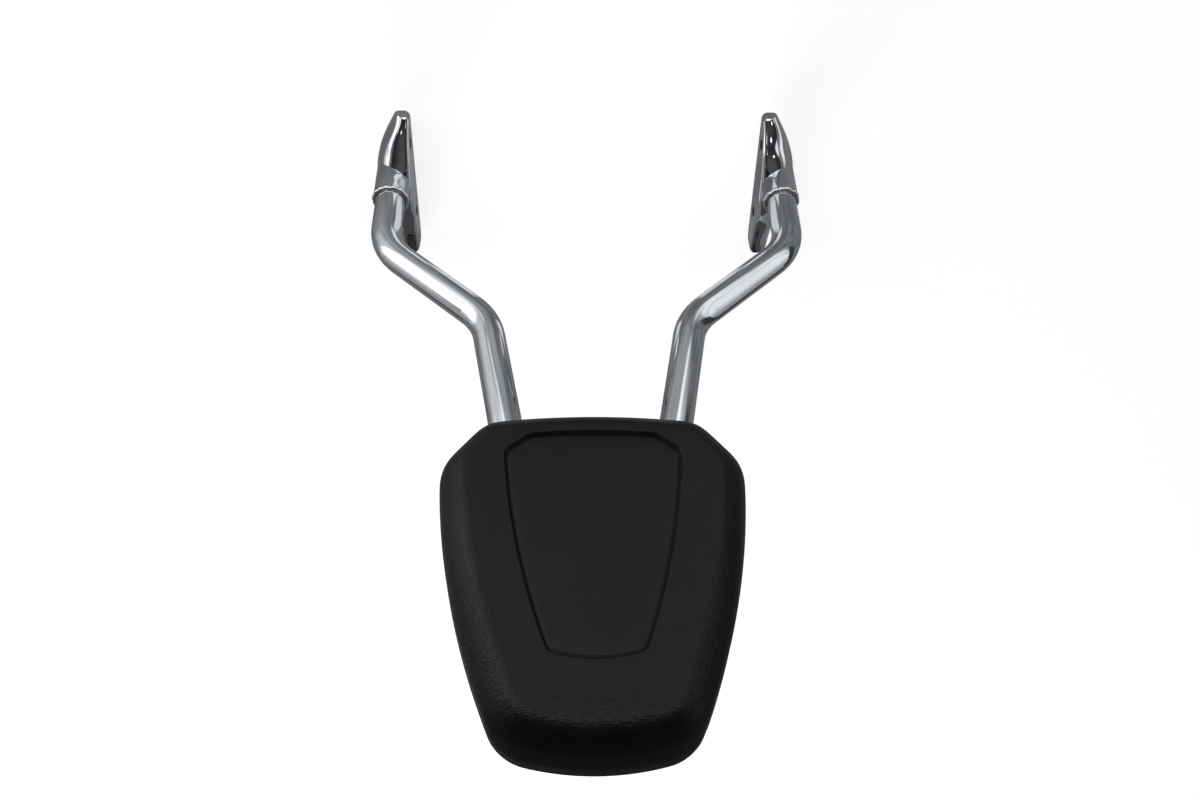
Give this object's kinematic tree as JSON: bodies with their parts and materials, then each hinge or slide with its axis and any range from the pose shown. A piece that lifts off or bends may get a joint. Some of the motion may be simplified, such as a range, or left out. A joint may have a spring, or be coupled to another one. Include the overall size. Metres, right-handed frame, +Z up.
{
  "type": "sissy bar",
  "caption": "Passenger backrest bar: a bent chromed tube hoop on cast feet that bolt to fender rails, with a moulded black pad.",
  "frame": {"origin": "middle of the bounding box's bottom, at the level of the feet's undersides", "axes": "+Z up, +Y towards the rear of the bike (the pad faces -Y), +X across to the rider's left"},
  "size_m": [0.3256, 0.1408, 0.491],
  "materials": {
    "chrome": "bright plated",
    "steel": "zinc plated",
    "base_plastic": "moulded, matt",
    "cover_plastic": "moulded, fine grain",
    "pad_skin": "moulded foam skin, leather grain",
    "brass": "knurled"
  },
  "bodies": {
    "root": {"hoop_tube": "chrome", "left_bracket": "chrome", "right_bracket": "chrome", "left_bracket_weld": "chrome", "right_bracket_weld": "chrome", "lower_pad_plate": "chrome", "upper_pad_plate": "chrome", "plate_welds": "chrome", "pad_base": "base_plastic", "threaded_inserts": "brass", "pad_cushion": "pad_skin", "rear_cover": "cover_plastic", "pad_screws": "steel", "pad_washers": "steel", "cover_screws": "steel"}
  },
  "joints": []
}
